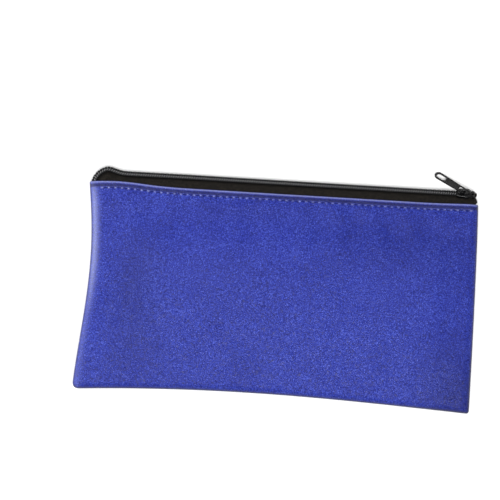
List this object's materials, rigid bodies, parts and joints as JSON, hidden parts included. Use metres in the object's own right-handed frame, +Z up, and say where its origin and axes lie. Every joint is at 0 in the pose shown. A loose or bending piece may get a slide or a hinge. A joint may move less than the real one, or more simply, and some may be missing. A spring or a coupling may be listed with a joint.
{
  "type": "cash deposit bag",
  "caption": "Flat rectangular zippered pouch of coated leatherette for carrying banknotes and deposits, with a coil zip along its mouth.",
  "frame": {"origin": "middle of the back panel's outer face, on the surface that the bag lies on", "axes": "+X along the zip towards the closed end, +Y from the bottom seam to the zip, +Z up through the front panel"},
  "size_m": [0.278, 0.169, 0.016],
  "materials": {
    "vinyl": "blue coated leatherette with a fine pebble grain",
    "zip_tape": "black woven tape",
    "zip_coil": "black monofilament, slightly glossy",
    "zip_cord": "black knitted filler cord",
    "blue_thread": "blue bonded sewing thread",
    "black_thread": "black sewing thread",
    "black_enamel": "glossy black enamel on cast zinc"
  },
  "bodies": {
    "bag": {"back_panel": "vinyl", "back_zip_tape": "zip_tape", "back_zip_coil": "zip_coil", "back_coil_cord": "zip_cord", "back_coil_thread": "black_thread", "back_top_stop": "black_enamel", "bottom_stop": "black_enamel", "back_hem_needle_thread": "blue_thread", "back_hem_bobbin_thread": "blue_thread", "left_seam_bobbin_thread": "blue_thread", "right_seam_bobbin_thread": "blue_thread", "bottom_seam_bobbin_thread": "blue_thread"},
    "front": {"front_panel": "vinyl", "front_zip_tape": "zip_tape", "front_zip_coil": "zip_coil", "front_coil_cord": "zip_cord", "front_coil_thread": "black_thread", "front_top_stop": "black_enamel", "front_hem_needle_thread": "blue_thread", "front_hem_bobbin_thread": "blue_thread", "left_seam_needle_thread": "blue_thread", "right_seam_needle_thread": "blue_thread", "bottom_seam_needle_thread": "blue_thread"},
    "slider": {"slider_body": "black_enamel"},
    "pull": {"pull_tab": "black_enamel"}
  },
  "joints": [
    {"name": "zip_slide", "type": "slide", "parent": "bag", "child": "slider", "axis": [-1, 0, 0], "range_m": [0, 0.24], "deforming": ["front_zip_tape", "front_zip_coil", "front_coil_cord", "front_coil_thread", "back_zip_tape", "back_zip_coil", "back_coil_cord", "back_coil_thread"]},
    {"name": "mouth_open", "type": "hinge", "parent": "bag", "child": "front", "pos_m": [0, -0.078, 0.006], "axis": [1, 0, 0], "range_deg": [0, 13.8]},
    {"name": "pull_swing", "type": "hinge", "parent": "slider", "child": "pull", "pos_m": [0.128, 0.0778, 0.00877], "axis": [0.5821, 0.6741, -0.4547], "range_deg": [0, 115]}
  ],
  "couplings": [
    {"joint": "mouth_open", "follows": "zip_slide", "rad_per_m": 1}
  ]
}
